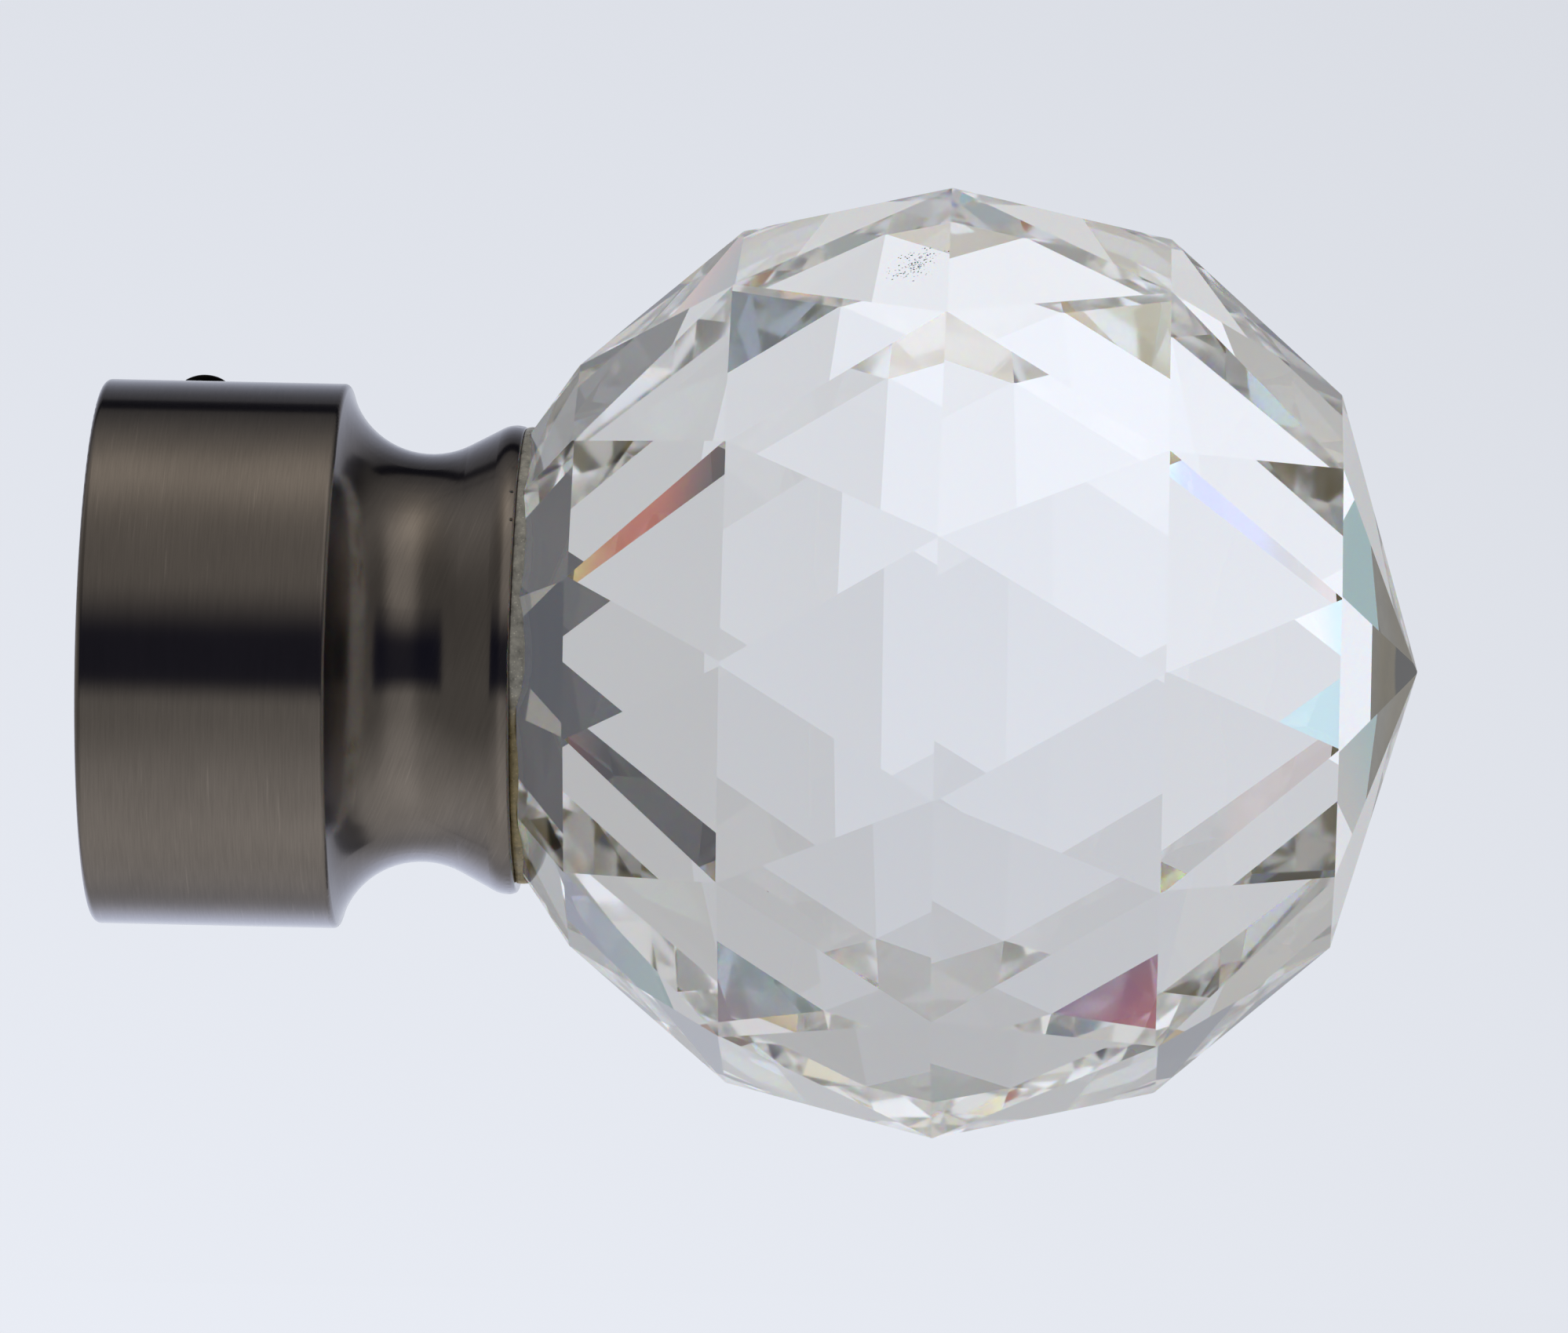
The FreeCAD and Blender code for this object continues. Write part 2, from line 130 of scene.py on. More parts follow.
class CrystalCut(bpy.types.PropertyGroup):
    ior: bpy.props.FloatProperty(
        name="Index", description="Refractive index of the crystal", default=1.513, min=1.0, max=2.5,
    )
    fire: bpy.props.FloatProperty(
        name="Fire", description="How far the index differs between red and blue light", default=0.02,
        min=0.0, max=0.1,
    )
    colour: bpy.props.FloatVectorProperty(
        name="Colour", description="Tint of the crystal", subtype="COLOR", size=3,
        default=(0.985, 0.99, 1.0), min=0.0, max=1.0,
    )
    seat_colour: bpy.props.FloatVectorProperty(
        name="Seat Colour", description="Bonded seat as seen through the crystal", subtype="COLOR", size=3,
        default=(0.62, 0.49, 0.2), min=0.0, max=1.0,
    )
    # Painted light: the seat's rim is made paler, as if light from outside came in through the adhesive
    seat_rim_painted_light: bpy.props.FloatVectorProperty(
        name="Seat Rim Painted Light", description="Bonded seat round its edge", subtype="COLOR", size=3,
        default=(0.85, 0.78, 0.58), min=0.0, max=1.0,
    )
    clear_radius: bpy.props.FloatProperty(
        name="Clear Radius", description="Middle of the seat, where the adhesive is clear over dark metal",
        unit="LENGTH", default=6.2 * MM,
    )
    inner_haze: bpy.props.FloatProperty(
        name="Inner Haze", description="Roughness of a facet as a mirror from inside", default=0.025,
        min=0.0, max=1.0,
    )
    facet_shift: bpy.props.FloatProperty(
        name="Facet Shift", description="How far hand grinding leaves a facet from its true depth",
        unit="LENGTH", default=0.012 * MM,
    )
    facet_tilt: bpy.props.FloatProperty(
        name="Facet Tilt", description="How far hand grinding tilts a facet", subtype="ANGLE",
        default=math.radians(0.04),
    )


class AdhesiveBead(bpy.types.PropertyGroup):
    colour: bpy.props.FloatVectorProperty(
        name="Colour", description="Squeezed-out adhesive with fine bubbles", subtype="COLOR", size=3,
        default=(0.6, 0.58, 0.51), min=0.0, max=1.0,
    )
    thin_colour: bpy.props.FloatVectorProperty(
        name="Thin Colour", description="Thin clear line of adhesive, which has yellowed", subtype="COLOR",
        size=3, default=(0.45, 0.36, 0.18), min=0.0, max=1.0,
    )
    full_radius: bpy.props.FloatProperty(
        name="Full Radius", description="Reach of the bead where adhesive was squeezed out", unit="LENGTH",
        default=13.8 * MM,
    )
    thin_radius: bpy.props.FloatProperty(
        name="Thin Radius", description="Reach of the adhesive where it stays back", unit="LENGTH",
        default=13.05 * MM,
    )
    unevenness: bpy.props.FloatProperty(
        name="Unevenness", description="How far the bead's edge wanders", unit="LENGTH", default=0.1 * MM,
    )
    drip_size: bpy.props.FloatProperty(
        name="Drip Size", description="How far the drop under the lip stands out", unit="LENGTH",
        default=0.4 * MM,
    )


class ScrewThread(bpy.types.PropertyGroup):
    pitch: bpy.props.FloatProperty(
        name="Pitch", description="Pitch of the thread", unit="LENGTH", default=0.5 * MM,
    )
    thread_depth: bpy.props.FloatProperty(
        name="Thread Depth", description="Depth of the thread", unit="LENGTH", default=0.29 * MM,
    )
    tip_chamfer: bpy.props.FloatProperty(
        name="Tip Chamfer", description="Chamfer on the screw's tip", unit="LENGTH", default=0.4 * MM,
    )
    head_chamfer: bpy.props.FloatProperty(
        name="Head Chamfer", description="Chamfer on the screw's outer end", unit="LENGTH",
        default=0.15 * MM,
    )
    key_width: bpy.props.FloatProperty(
        name="Key Width", description="Width of the hexagon socket across its flats", unit="LENGTH",
        default=1.5 * MM,
    )
    key_depth: bpy.props.FloatProperty(
        name="Key Depth", description="Depth of the hexagon socket", unit="LENGTH", default=2.0 * MM,
    )
    cup_radius: bpy.props.FloatProperty(
        name="Cup Radius", description="Radius of the cup in the screw's tip", unit="LENGTH",
        default=0.75 * MM,
    )
    cup_depth: bpy.props.FloatProperty(
        name="Cup Depth", description="Depth of the cup in the screw's tip", unit="LENGTH", default=0.4 * MM,
    )


class ResidueSpecks(bpy.types.PropertyGroup):
    size: bpy.props.FloatProperty(
        name="Size", description="Mean width of one speck", unit="LENGTH", default=0.075 * MM,
    )
    count: bpy.props.IntProperty(
        name="Count", description="Specks in each smear", default=60, min=1,
    )


class StudioStage(bpy.types.PropertyGroup):
    camera_place: bpy.props.FloatVectorProperty(
        name="Camera Place", description="Where the camera stands", subtype="TRANSLATION", size=3,
        default=(59.845 * MM, -607.503 * MM, 9.578 * MM),
    )
    camera_yaw: bpy.props.FloatProperty(
        name="Camera Yaw", description="Turn of the view towards the ball's end", subtype="ANGLE",
        default=math.radians(-1.81875),
    )
    camera_pitch: bpy.props.FloatProperty(
        name="Camera Pitch", description="How far the view looks down", subtype="ANGLE",
        default=math.radians(0.90759),
    )
    camera_roll: bpy.props.FloatProperty(
        name="Camera Roll", description="Lean of the view about its own axis", subtype="ANGLE",
        default=math.radians(1.21702),
    )
    lens: bpy.props.FloatProperty(
        name="Lens", description="Focal length on a 36 mm sensor, in millimetres", default=235.58,
    )
    floor_drop: bpy.props.FloatProperty(
        name="Floor Drop", description="How far the floor lies below the finial's axis", unit="LENGTH",
        default=0.5,
    )


class FinialSettings(bpy.types.PropertyGroup):
    ferrule: bpy.props.PointerProperty(type=FerruleFinish)
    crystal: bpy.props.PointerProperty(type=CrystalCut)
    adhesive: bpy.props.PointerProperty(type=AdhesiveBead)
    screw: bpy.props.PointerProperty(type=ScrewThread)
    residue: bpy.props.PointerProperty(type=ResidueSpecks)
    stage: bpy.props.PointerProperty(type=StudioStage)


def new_material(name):
    """A material with an empty node tree, its tree and its output."""
    material = bpy.data.materials.new(name)
    material.use_nodes = True
    tree = material.node_tree
    tree.nodes.clear()
    return material, tree, tree.nodes.new("ShaderNodeOutputMaterial")


def node(tree, kind, inputs=None, **settings):
    """Add a node, set its own settings, and set or link its inputs by name or number."""
    made = tree.nodes.new(kind)
    for name, value in settings.items():
        setattr(made, name, value)
    for name, value in (inputs or {}).items():
        if isinstance(value, bpy.types.NodeSocket):
            tree.links.new(value, made.inputs[name])
        else:
            made.inputs[name].default_value = value
    return made


def maths(tree, operation, *values):
    """One step of arithmetic on numbers or sockets, as a node's output."""
    return node(tree, "ShaderNodeMath", dict(enumerate(values)), operation=operation).outputs[0]


def vectors(tree, operation, *values):
    """One step of arithmetic on vectors or sockets, as a node's vector output."""
    return node(tree, "ShaderNodeVectorMath", dict(enumerate(values)), operation=operation).outputs[0]


def measure(tree, operation, *values):
    """A number worked out from vectors or sockets, as a node's output."""
    return node(tree, "ShaderNodeVectorMath", dict(enumerate(values)), operation=operation).outputs["Value"]


def product(tree, first, *others):
    """Numbers or sockets multiplied together, as a node's output."""
    for other in others:
        first = maths(tree, "MULTIPLY", first, other)
    return first


def added(tree, first, *others):
    """Vectors or colours added together, as a node's output."""
    for other in others:
        first = vectors(tree, "ADD", first, other)
    return first


def distance(tree, one_way, other_way):
    """How far off two distances at right angles come to."""
    squares = maths(tree, "MULTIPLY_ADD", one_way, one_way, product(tree, other_way, other_way))
    return maths(tree, "SQRT", squares)


def scaled(tree, vector, scale):
    """A vector or colour times a number, as a node's output."""
    return node(tree, "ShaderNodeVectorMath", {0: vector, "Scale": scale}, operation="SCALE").outputs[0]


def spread(tree, value, start, end, low, high):
    """A value's range from start to end, taken to the range from low to high."""
    return node(tree, "ShaderNodeMapRange", {"Value": value, 1: start, 2: end, 3: low, 4: high}).outputs[0]


def ramp(tree, value, start, end):
    """A smooth step from 0 at start to 1 at end, as a node's output."""
    step = node(
        tree, "ShaderNodeMapRange", {"Value": value, 1: start, 2: end, 3: 0.0, 4: 1.0},
        interpolation_type="SMOOTHSTEP",
    )
    return step.outputs[0]


def grain(tree, vector, scale, detail=2.0):
    """Noise, from 0 to 1."""
    return node(
        tree, "ShaderNodeTexNoise", {"Vector": vector, "Scale": scale, "Detail": detail, "Roughness": 0.6}
    ).outputs["Fac"]


def blend(tree, share, first, second):
    """Two colours mixed by a share."""
    return node(
        tree, "ShaderNodeMix", {0: share, 6: (*first, 1.0), 7: (*second, 1.0)}, data_type="RGBA"
    ).outputs[2]


def mixed(tree, share, first, second):
    """Two shaders mixed by a share."""
    return node(tree, "ShaderNodeMixShader", {0: share, 1: first, 2: second}).outputs[0]


def finish_surface(tree, output, **inputs):
    """Close a material with one Principled shader, its sockets named with _ for spaces."""
    sockets = {name.replace("_", " "): value for name, value in inputs.items()}
    shader = node(tree, "ShaderNodeBsdfPrincipled", sockets)
    tree.links.new(shader.outputs[0], output.inputs["Surface"])


def add_piece(name, mesh, body, slot, *stands_for):
    """Put a mesh in the scene as a piece that rides on a body."""
    piece = bpy.data.objects.new(name, mesh)
    bpy.context.scene.collection.objects.link(piece)
    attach(piece, body)
    if stands_for:
        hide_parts(*stands_for)
    return piece


def skin_rings(name, rings):
    """Closed mesh over rings that all have as many points, with a cap at both ends."""
    count = len(rings[0])
    points = [point for ring in rings for point in ring]
    faces = [tuple(range(count)), tuple(range(len(points) - count, len(points)))]
    for start in range(0, len(points) - count, count):
        for here in range(count):
            after = (here + 1) % count
            faces.append((start + here, start + after, start + count + after, start + count + here))
    mesh = bpy.data.meshes.new(name)
    mesh.from_pydata(points, [], faces)
    shape = bmesh.new()
    shape.from_mesh(mesh)
    bmesh.ops.recalc_face_normals(shape, faces=shape.faces)
    shape.to_mesh(mesh)
    shape.free()
    return mesh


def round_axis(radius, turn):
    """Point at a radius from the finial's axis, turned from the top towards the viewer."""
    return Vector((0.0, -radius * math.sin(turn), radius * math.cos(turn)))


def towards(turn, height):
    """Unit vector at a turn to the right of straight behind the finial and a height, in degrees."""
    turn, height = math.radians(turn), math.radians(height)
    return Vector(
        (math.sin(turn) * math.cos(height), math.cos(turn) * math.cos(height), math.sin(height))
    )


# Places of the nicks in the lip: along the axis, and the turn from the top towards the viewer in degrees
NICKS = ((24.75 * MM, 44.0), (24.85 * MM, 53.0))
NICK_DEPTH = 0.06 * MM
LIP_RADIUS = 13.85 * MM
STROKE_DEPTH = 0.002 * MM
# The strokes change over this length from the collar's to the neck's
NECK_BLEND = 2 * MM
# The thread in the hole reaches this far out from the screw
HOLE_ROOM = 0.08 * MM


def lip_nicks(tree, place, size):
    """Where the lip is nicked, from 0 to 1."""
    nicks = 0.0
    for station, angle in NICKS:
        spot = round_axis(LIP_RADIUS, math.radians(angle)) + Vector((station, 0, 0))
        reach = measure(tree, "DISTANCE", place, tuple(spot))
        nicks = maths(tree, "MAXIMUM", nicks, ramp(tree, reach, size / 2, 0.0))
    return nicks


def hole_thread(tree, place, thread):
    """Ridges of the thread in the screw's hole, from 0 to a half, and 0 elsewhere."""
    from_screw = vectors(tree, "SUBTRACT", place, tuple(SCREW_ROOT))
    outward = measure(tree, "DOT_PRODUCT", from_screw, tuple(SCREW_OUT))
    aside = measure(tree, "DOT_PRODUCT", from_screw, tuple(SCREW_SIDE))
    lengthwise = node(tree, "ShaderNodeSeparateXYZ", {0: from_screw}).outputs[0]
    off_axis = distance(tree, aside, lengthwise)
    in_hole = maths(tree, "LESS_THAN", off_axis, SCREW_RADIUS + HOLE_ROOM)
    in_hole = product(tree, in_hole, maths(tree, "GREATER_THAN", outward, 0.0))
    winding = maths(tree, "DIVIDE", maths(tree, "ARCTAN2", aside, lengthwise), 2 * math.pi)
    turns = maths(tree, "SUBTRACT", maths(tree, "DIVIDE", outward, thread.pitch), winding)
    return product(tree, maths(tree, "PINGPONG", turns, 0.5), in_hole)


def brushed_nickel(finish, thread):
    """Dark plated metal, brushed round the axis, with the screw's thread in its hole."""
    material, tree, output = new_material("brushed_black_nickel")
    place = node(tree, "ShaderNodeTexCoord").outputs["Object"]
    along, across, up = node(tree, "ShaderNodeSeparateXYZ", {0: place}).outputs
    turn = maths(tree, "ARCTAN2", up, product(tree, across, -1.0))
    round_about = product(tree, turn, distance(tree, across, up))

    # Strokes lean a little on the collar and more on the neck
    on_neck = ramp(tree, along, finish.neck_start, finish.neck_start + NECK_BLEND)
    lean = spread(tree, on_neck, 0.0, 1.0, math.tan(finish.collar_slant), math.tan(finish.neck_slant))
    leaned = maths(tree, "MULTIPLY_ADD", round_about, lean, along)
    stroked = node(tree, "ShaderNodeCombineXYZ", {0: leaned, 1: across, 2: up}).outputs[0]
    stretch = 1.0 / finish.stroke_length
    fine = vectors(tree, "MULTIPLY", stroked, (1.0 / finish.stroke_width, stretch, stretch))
    strokes = grain(tree, fine, 1.0, 3.0)
    scratches = ramp(tree, grain(tree, vectors(tree, "ADD", fine, (70.0, 3.0, 9.0)), 0.6, 1.0), 0.66, 0.8)
    clouds = grain(tree, place, 140.0)
    tone = spread(tree, strokes, 0.3, 0.7, 0.92, 1.08)
    tone = maths(tree, "MULTIPLY_ADD", scratches, 0.2, tone)
    tone = product(tree, tone, spread(tree, clouds, 0.3, 0.7, 0.94, 1.06))
    nicks = lip_nicks(tree, place, finish.nick_size)
    tone = maths(tree, "MULTIPLY_ADD", nicks, -0.5, tone)

    height = product(tree, strokes, STROKE_DEPTH)
    height = maths(tree, "MULTIPLY_ADD", nicks, -NICK_DEPTH, height)
    ridges = hole_thread(tree, place, thread)
    height = maths(tree, "MULTIPLY_ADD", ridges, 2 * thread.thread_depth, height)
    bump = node(tree, "ShaderNodeBump", {"Height": height, "Strength": 1.0, "Distance": 1.0})
    tangent = node(tree, "ShaderNodeTangent", direction_type="RADIAL", axis="X")
    finish_surface(
        tree, output,
        Base_Color=scaled(tree, tuple(finish.colour), tone),
        Metallic=1.0,
        Roughness=spread(tree, on_neck, 0.0, 1.0, finish.collar_roughness, finish.neck_roughness),
        Anisotropic=spread(tree, on_neck, 0.0, 1.0, finish.collar_grain, finish.neck_grain),
        Anisotropic_Rotation=0.25,
        Tangent=tangent.outputs[0],
        Normal=bump.outputs[0],
        Coat_Weight=finish.lacquer,
        Coat_Roughness=finish.lacquer_roughness,
        Specular_Tint=(*finish.edge_tint, 1.0),
    )
    return material


# Colours of the glass through which red, green and blue light leave the crystal. Together they pass white
PARTED_COLOURS = ((2.45, 0.4, 0.1), (0.45, 2.2, 0.45), (0.1, 0.4, 2.45))
# A share of reflected light that only total reflection reaches
ALL_REFLECTED = 0.999


def cut_glass(cut):
    """Clear crystal that parts colours where light leaves it, with slightly hazy inner mirrors."""
    material, tree, output = new_material("cut_crystal")
    clear = node(
        tree, "ShaderNodeBsdfPrincipled",
        {"Base Color": (*cut.colour, 1.0), "Roughness": 0.0, "IOR": cut.ior, "Transmission Weight": 1.0},
    )
    low, high = cut.ior - cut.fire / 2, cut.ior + cut.fire / 2
    red, green, blue = (
        node(tree, "ShaderNodeBsdfGlass", {"Color": (*colour, 1.0), "Roughness": 0.0, "IOR": ior}).outputs[0]
        for colour, ior in zip(PARTED_COLOURS, (low, cut.ior, high))
    )
    parted = mixed(tree, 1 / 3, mixed(tree, 1 / 2, red, green), blue)
    mirror = node(tree, "ShaderNodeBsdfAnisotropic", {"Color": (1, 1, 1, 1), "Roughness": cut.inner_haze})
    reflected = node(tree, "ShaderNodeFresnel", {"IOR": low}).outputs[0]
    trapped = maths(tree, "GREATER_THAN", reflected, ALL_REFLECTED)
    inner = mixed(tree, trapped, parted, mirror.outputs[0])
    inside = node(tree, "ShaderNodeNewGeometry").outputs["Backfacing"]
    tree.links.new(mixed(tree, inside, clear.outputs[0], inner), output.inputs["Surface"])
    return material


# Distances from the axis between which the seat's colour turns into the painted light at its rim
RIM_LIGHT_BLEND = (8.5 * MM, 12.0 * MM)
# Width of the edge round the seat's clear middle, and how bright the middle is beside the cloudy adhesive
CLOUD_EDGE = 0.4 * MM
CLEAR_TONE = 0.04


def bonded_seat(cut):
    """Adhesive on the ball's seat: cloudy, palest at the rim where light is painted in, and clear over dark
    metal in the middle.
    """
    material, tree, output = new_material("bonded_seat")
    place = node(tree, "ShaderNodeTexCoord").outputs["Object"]
    across = measure(tree, "LENGTH", vectors(tree, "MULTIPLY", place, (0.0, 1.0, 1.0)))
    cloudy = ramp(tree, across, cut.clear_radius, cut.clear_radius + CLOUD_EDGE)
    # Painted light: the seat's colour turns paler towards its rim
    colour = blend(tree, ramp(tree, across, *RIM_LIGHT_BLEND), tuple(cut.seat_colour), tuple(cut.seat_rim_painted_light))
    clouds = spread(tree, grain(tree, place, 260.0, 4.0), 0.35, 0.65, 0.8, 1.0)
    tone = product(tree, clouds, spread(tree, cloudy, 0.0, 1.0, CLEAR_TONE, 1.0))
    finish_surface(
        tree, output,
        Base_Color=scaled(tree, colour, tone),
        Roughness=0.6,
        Specular_IOR_Level=product(tree, cloudy, 0.5),
    )
    return material


# Heights over the axis between which the adhesive goes from cloudy to clear
THIN_BLEND = (-1.5 * MM, -4.0 * MM)
BUBBLE_DEPTH = 0.08 * MM


def cured_adhesive(bead):
    """Cloudy adhesive with bubbles where it was squeezed out, clear and yellowed where it is thin."""
    material, tree, output = new_material("clear_adhesive")
    place = node(tree, "ShaderNodeTexCoord").outputs["Object"]
    up = node(tree, "ShaderNodeSeparateXYZ", {0: place}).outputs[2]
    clouds = grain(tree, place, 1400.0, 4.0)
    bubbles = node(tree, "ShaderNodeTexVoronoi", {"Vector": place, "Scale": 4500.0}).outputs["Distance"]
    colour = blend(tree, ramp(tree, up, *THIN_BLEND), tuple(bead.colour), tuple(bead.thin_colour))
    tone = spread(tree, clouds, 0.3, 0.7, 0.6, 1.35)
    tone = maths(tree, "MULTIPLY_ADD", ramp(tree, bubbles, 0.3, 0.1), 0.5, tone)
    bump = node(tree, "ShaderNodeBump", {"Height": clouds, "Strength": 0.6, "Distance": BUBBLE_DEPTH})
    finish_surface(
        tree, output,
        Base_Color=scaled(tree, colour, tone),
        Roughness=spread(tree, clouds, 0.3, 0.7, 0.2, 0.5),
        Normal=bump.outputs[0],
    )
    return material


def black_oxide():
    """Blackened steel, slightly blotchy."""
    material, tree, output = new_material("black_oxide")
    place = node(tree, "ShaderNodeTexCoord").outputs["Object"]
    blotches = grain(tree, place, 1800.0, 3.0)
    worn = spread(tree, blotches, 0.3, 0.7, 0.0, 1.0)
    finish_surface(
        tree, output,
        Base_Color=blend(tree, worn, (0.012, 0.012, 0.013), (0.035, 0.034, 0.036)),
        Metallic=0.7,
        Roughness=spread(tree, blotches, 0.3, 0.7, 0.35, 0.5),
    )
    return material


def dried_residue():
    """Dust caught in dried adhesive."""
    material, tree, output = new_material("dried_residue")
    place = node(tree, "ShaderNodeTexCoord").outputs["Object"]
    clouds = grain(tree, place, 6000.0)
    finish_surface(
        tree, output, Base_Color=blend(tree, clouds, (0.04, 0.04, 0.04), (0.28, 0.28, 0.27)), Roughness=0.8
    )
    return material


class FINIAL_OT_dress_ferrule(bpy.types.Operator):
    """Give the turned ferrule its brushed black nickel"""

    bl_idname = "finial.dress_ferrule"
    bl_label = "Dress Ferrule"

    def execute(self, context):
        settings = context.scene.finial
        ferrule = frame["nodes"]["ferrule"]
        ferrule.data.materials.clear()
        ferrule.data.materials.append(brushed_nickel(settings.ferrule, settings.screw))
        return {"FINISHED"}


# Two faces lie in one flat where the cosine of the angle between them is at least this
SAME_WAY = 0.99999
GRIND_STEP = 0.0001 * MM
GRIND_SEED = 5


def ball_flats():
    """Each flat of the ball's solid once: a point on it and the way it faces."""
    flats = []
    for face in frame["nodes"]["crystal_ball"].data.polygons:
        if all(face.normal.dot(facing) < SAME_WAY for _, facing in flats):
            flats.append((face.center.copy(), face.normal.copy()))
    return flats


def is_seat(facing):
    return facing.x < -SAME_WAY


def ground_flats(cut):
    """The ball's flats as a cutter's wheel leaves them, each a little off in depth and tilt."""
    draw = random.Random(GRIND_SEED)
    ground = []
    for point, facing in ball_flats():
        if not is_seat(facing):
            tilt = Vector(draw.gauss(0, cut.facet_tilt) for _ in range(3))
            point = point + facing * draw.gauss(0, cut.facet_shift)
            facing = (facing + tilt).normalized()
        ground.append((point, facing))
    return ground


def cut_block(flats):
    """Grind a block down to the flats, one after the other."""
    shape = bmesh.new()
    bmesh.ops.create_cube(shape, size=2 * max(BALL_HIGH - BALL_LOW))
    bmesh.ops.translate(shape, verts=shape.verts, vec=BALL_MIDDLE)
    for point, facing in flats:
        cut = bmesh.ops.bisect_plane(
            shape, geom=[*shape.verts, *shape.edges, *shape.faces], dist=GRIND_STEP,
            plane_co=point, plane_no=facing, clear_outer=True,
        )
        rim = [part for part in cut["geom_cut"] if isinstance(part, bmesh.types.BMEdge)]
        bmesh.ops.contextual_create(shape, geom=rim)
    if not all(edge.is_manifold for edge in shape.edges):
        raise RuntimeError("the cut ball is not closed")
    bmesh.ops.recalc_face_normals(shape, faces=shape.faces)
    return shape


class FINIAL_OT_cut_ball(bpy.types.Operator):
    """Cut the crystal ball facet by facet"""

    bl_idname = "finial.cut_ball"
    bl_label = "Cut Ball"

    def execute(self, context):
        cut = context.scene.finial.crystal
        shape = cut_block(ground_flats(cut))
        shape.normal_update()
        for face in shape.faces:
            face.material_index = int(is_seat(face.normal))
        mesh = bpy.data.meshes.new("cut_ball")
        shape.to_mesh(mesh)
        shape.free()
        mesh.materials.append(cut_glass(cut))
        mesh.materials.append(bonded_seat(cut))
        add_piece("cut_ball", mesh, "finial", "cut_crystal", "crystal_ball")
        return {"FINISHED"}


# Round the bead, turns are from the top towards the viewer, in degrees
BEAD_STEPS = 360
BEAD_FULL_END = (92.0, 108.0)
BEAD_FULL_START = (238.0, 282.0)
DRIP_TURN = 168.0
DRIP_SPREAD = 5.0
BEAD_CORE_RADIUS = 12.4 * MM
CONTACT_GAP = 0.02 * MM
# Across the bead: share of its width, and how far it falls back from its crown
BEAD_SECTION = (
    (0.0, 0.1 * MM), (0.1, 0.03 * MM), (0.35, 0.0), (0.65, 0.0), (0.9, 0.03 * MM), (1.0, 0.1 * MM)
)
# The edge wanders as noise does round circles of these radii, in long waves and in ripples
BEAD_WAVES = 4.0
BEAD_RIPPLES = 21.0
RIPPLE_SHARE = 0.4
# Share of the wandering that is left where the bead is thin
THIN_WANDER = 0.35


def smooth_step(value, start, end):
    """A smooth step from 0 at start to 1 at end, for a plain number."""
    share = min(max((value - start) / (end - start), 0.0), 1.0)
    return share * share * (3 - 2 * share)


def ball_end(flats, place):
    """Where the ball's metal end lies along the axis, over a place across it."""
    near = [(point, facing) for point, facing in flats if facing.x < -0.1]
    return max(point.x - (place - point).yz.dot(facing.yz) / facing.x for point, facing in near)


def bead_reach(bead, turn):
    """How far the adhesive reaches from the axis at a turn."""
    degrees = math.degrees(turn)
    full = 1 - smooth_step(degrees, *BEAD_FULL_END) + smooth_step(degrees, *BEAD_FULL_START)
    waves, ripples = (noise.noise(round_axis(radius, turn)) for radius in (BEAD_WAVES, BEAD_RIPPLES))
    wander = (waves + RIPPLE_SHARE * ripples) * (THIN_WANDER + (1 - THIN_WANDER) * full)
    drip = math.exp(-(((degrees - DRIP_TURN) / DRIP_SPREAD) ** 2))
    reach = bead.thin_radius + (bead.full_radius - bead.thin_radius) * full
    return reach + bead.unevenness * wander + bead.drip_size * drip


class FINIAL_OT_spread_adhesive(bpy.types.Operator):
    """Spread the adhesive between the lip and the ball, with its squeezed-out bead"""

    bl_idname = "finial.spread_adhesive"
    bl_label = "Spread Adhesive"

    def execute(self, context):
        bead = context.scene.finial.adhesive
        flats = ball_flats()
        rings = [[] for _ in range(len(BEAD_SECTION) + 2)]
        for step in range(BEAD_STEPS):
            turn = 2 * math.pi * step / BEAD_STEPS
            reach = bead_reach(bead, turn)
            core = round_axis(BEAD_CORE_RADIUS, turn)
            rings[0].append(core + Vector((LIP_END, 0, 0)))
            for ring, (share, fall) in zip(rings[1:-1], BEAD_SECTION):
                point = round_axis(reach - fall, turn)
                end = ball_end(flats, point) - CONTACT_GAP
                ring.append(point + Vector((LIP_END + share * (end - LIP_END), 0, 0)))
            rings[-1].append(core + Vector((SEAT_END - CONTACT_GAP, 0, 0)))
        mesh = skin_rings("adhesive_bead", rings)
        mesh.shade_smooth()
        mesh.set_sharp_from_angle(angle=math.radians(50))
        mesh.materials.append(cured_adhesive(bead))
        add_piece("adhesive_bead", mesh, "finial", "clear_adhesive", "adhesive_bond")
        return {"FINISHED"}


SCREW_POINTS = 48
RINGS_PER_TURN = 10
# Shares of the pitch that are flat at the thread's root and at its crest
ROOT_FLAT = 0.1
CREST_FLAT = 0.15


def screw_ring(height, radius):
    """Ring about the screw's axis at a height from the finial's axis, its radius given by the turn."""
    ring = []
    for step in range(SCREW_POINTS):
        turn = 2 * math.pi * step / SCREW_POINTS
        across = Vector((math.cos(turn), 0, 0)) + SCREW_SIDE * math.sin(turn)
        ring.append(SCREW_ROOT + SCREW_OUT * height + across * radius(turn))
    return ring


def thread_radius(thread, above_tip, below_head, turn):
    """Radius of the thread at a place between the screw's ends, cut back by their chamfers."""
    phase = (above_tip / thread.pitch - turn / (2 * math.pi)) % 1.0
    flank = (abs(2 * phase - 1) - ROOT_FLAT) / (1 - ROOT_FLAT - CREST_FLAT)
    ridge = min(max(flank, 0.0), 1.0)
    return SCREW_RADIUS - max(
        thread.thread_depth * (1 - ridge),
        thread.tip_chamfer - above_tip,
        thread.head_chamfer - below_head,
    )


def key_radius(width, turn):
    """Radius of the hexagon socket at a turn."""
    from_flat = turn % (math.pi / 3) - math.pi / 6
    return width / 2 / math.cos(from_flat)


